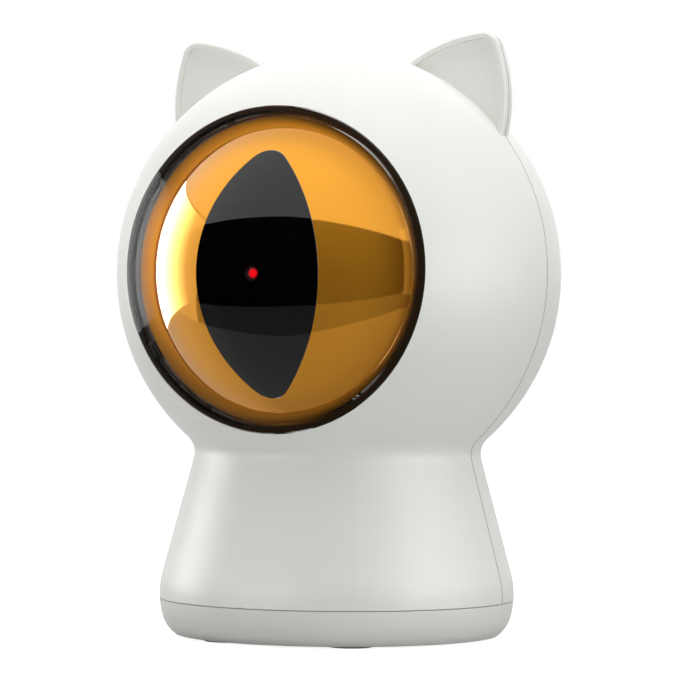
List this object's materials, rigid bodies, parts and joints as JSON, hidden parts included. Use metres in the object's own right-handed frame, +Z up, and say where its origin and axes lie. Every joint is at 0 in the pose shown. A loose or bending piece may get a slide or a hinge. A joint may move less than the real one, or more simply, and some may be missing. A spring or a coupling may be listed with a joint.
{
  "type": "automatic cat laser toy",
  "caption": "Free-standing ball-headed cat toy with cat ears and one large slit-pupil eye; a motorised gimbal behind the pupil steers a laser dot.",
  "frame": {"origin": "centre of the face that the toy stands on", "axes": "+Z up, the eye faces -Y, +X is on the viewer's right when the eye is looked at from the front"},
  "size_m": [0.084, 0.084, 0.113],
  "materials": {
    "shell_white": "satin moulded",
    "key_grey": "satin moulded",
    "foot_rubber": "matt",
    "screw_steel": "plated",
    "spring_steel": "nickel plated",
    "cell_jacket": "plain printed sleeve",
    "clear_dome": "clear glossy moulding",
    "iris_amber": "metallic amber lacquer",
    "pupil_black": "smoked glossy window",
    "ring_black": "moulded",
    "frame_black": "moulded",
    "motor_can": "drawn can",
    "shaft_steel": "ground",
    "gear_acetal": "acetal",
    "barrel_brass": "turned",
    "lens_glass": "polished",
    "circuit_board": "solder mask",
    "chip_black": "moulded",
    "socket_steel": "plated"
  },
  "bodies": {
    "housing": {"front_shell": "shell_white", "rear_shell": "shell_white", "base_cap": "shell_white", "rubber_feet": "foot_rubber", "shell_screws": "screw_steel", "base_screws": "screw_steel", "battery_contacts_left": "spring_steel", "battery_contacts_right": "spring_steel", "battery_cell_1": "cell_jacket", "battery_cell_2": "cell_jacket", "battery_cell_3": "cell_jacket", "eye_dome": "clear_dome", "iris_shell": "iris_amber", "pupil_window": "pupil_black", "eye_retaining_ring": "ring_black", "chassis": "frame_black", "chassis_screws": "screw_steel", "pan_motor": "motor_can", "motor_screws": "screw_steel", "main_board": "circuit_board", "board_chip": "chip_black", "board_screws": "screw_steel", "usb_socket": "socket_steel", "mode_switch": "chip_black"},
    "pan_yoke": {"yoke": "frame_black", "pan_gear": "gear_acetal", "pan_retainer": "screw_steel", "tilt_motor": "motor_can"},
    "laser_head": {"laser_cradle": "frame_black", "tilt_sector": "gear_acetal", "laser_barrel": "barrel_brass", "laser_lens": "lens_glass", "laser_driver_board": "circuit_board"},
    "pan_drive": {"pan_pinion": "gear_acetal", "pan_motor_shaft": "shaft_steel"},
    "tilt_drive": {"tilt_pinion": "gear_acetal", "tilt_motor_shaft": "shaft_steel"},
    "mode_key": {"mode_button": "key_grey"},
    "door": {"battery_door": "shell_white", "door_screw": "screw_steel"}
  },
  "joints": [
    {"name": "laser_pan", "type": "hinge", "parent": "housing", "child": "pan_yoke", "pos_m": [0, -0.016, 0.06745], "axis": [0, 0, 1], "range_deg": [-25, 25]},
    {"name": "laser_tilt", "type": "hinge", "parent": "pan_yoke", "child": "laser_head", "pos_m": [0, -0.016, 0.06745], "axis": [1, 0, 0], "range_deg": [-15, 15]},
    {"name": "pan_drive_spin", "type": "hinge", "parent": "housing", "child": "pan_drive", "pos_m": [0, 0.00088, 0.06745], "axis": [0, 0, 1], "continuous": true},
    {"name": "tilt_drive_spin", "type": "hinge", "parent": "pan_yoke", "child": "tilt_drive", "pos_m": [0, -0.00272, 0.06745], "axis": [1, 0, 0], "continuous": true},
    {"name": "mode_press", "type": "slide", "parent": "housing", "child": "mode_key", "axis": [0, -1, 0], "range_m": [0, 0.0006], "stiffness_N_per_m": 900},
    {"name": "battery_door_hinge", "type": "hinge", "parent": "housing", "child": "door", "pos_m": [-0.0238, 0, 0.001], "axis": [0, 1, 0], "range_deg": [0, 55]}
  ],
  "couplings": [
    {"joint": "pan_drive_spin", "follows": "laser_pan", "ratio": -3.6667},
    {"joint": "tilt_drive_spin", "follows": "laser_tilt", "ratio": -2.6667}
  ]
}
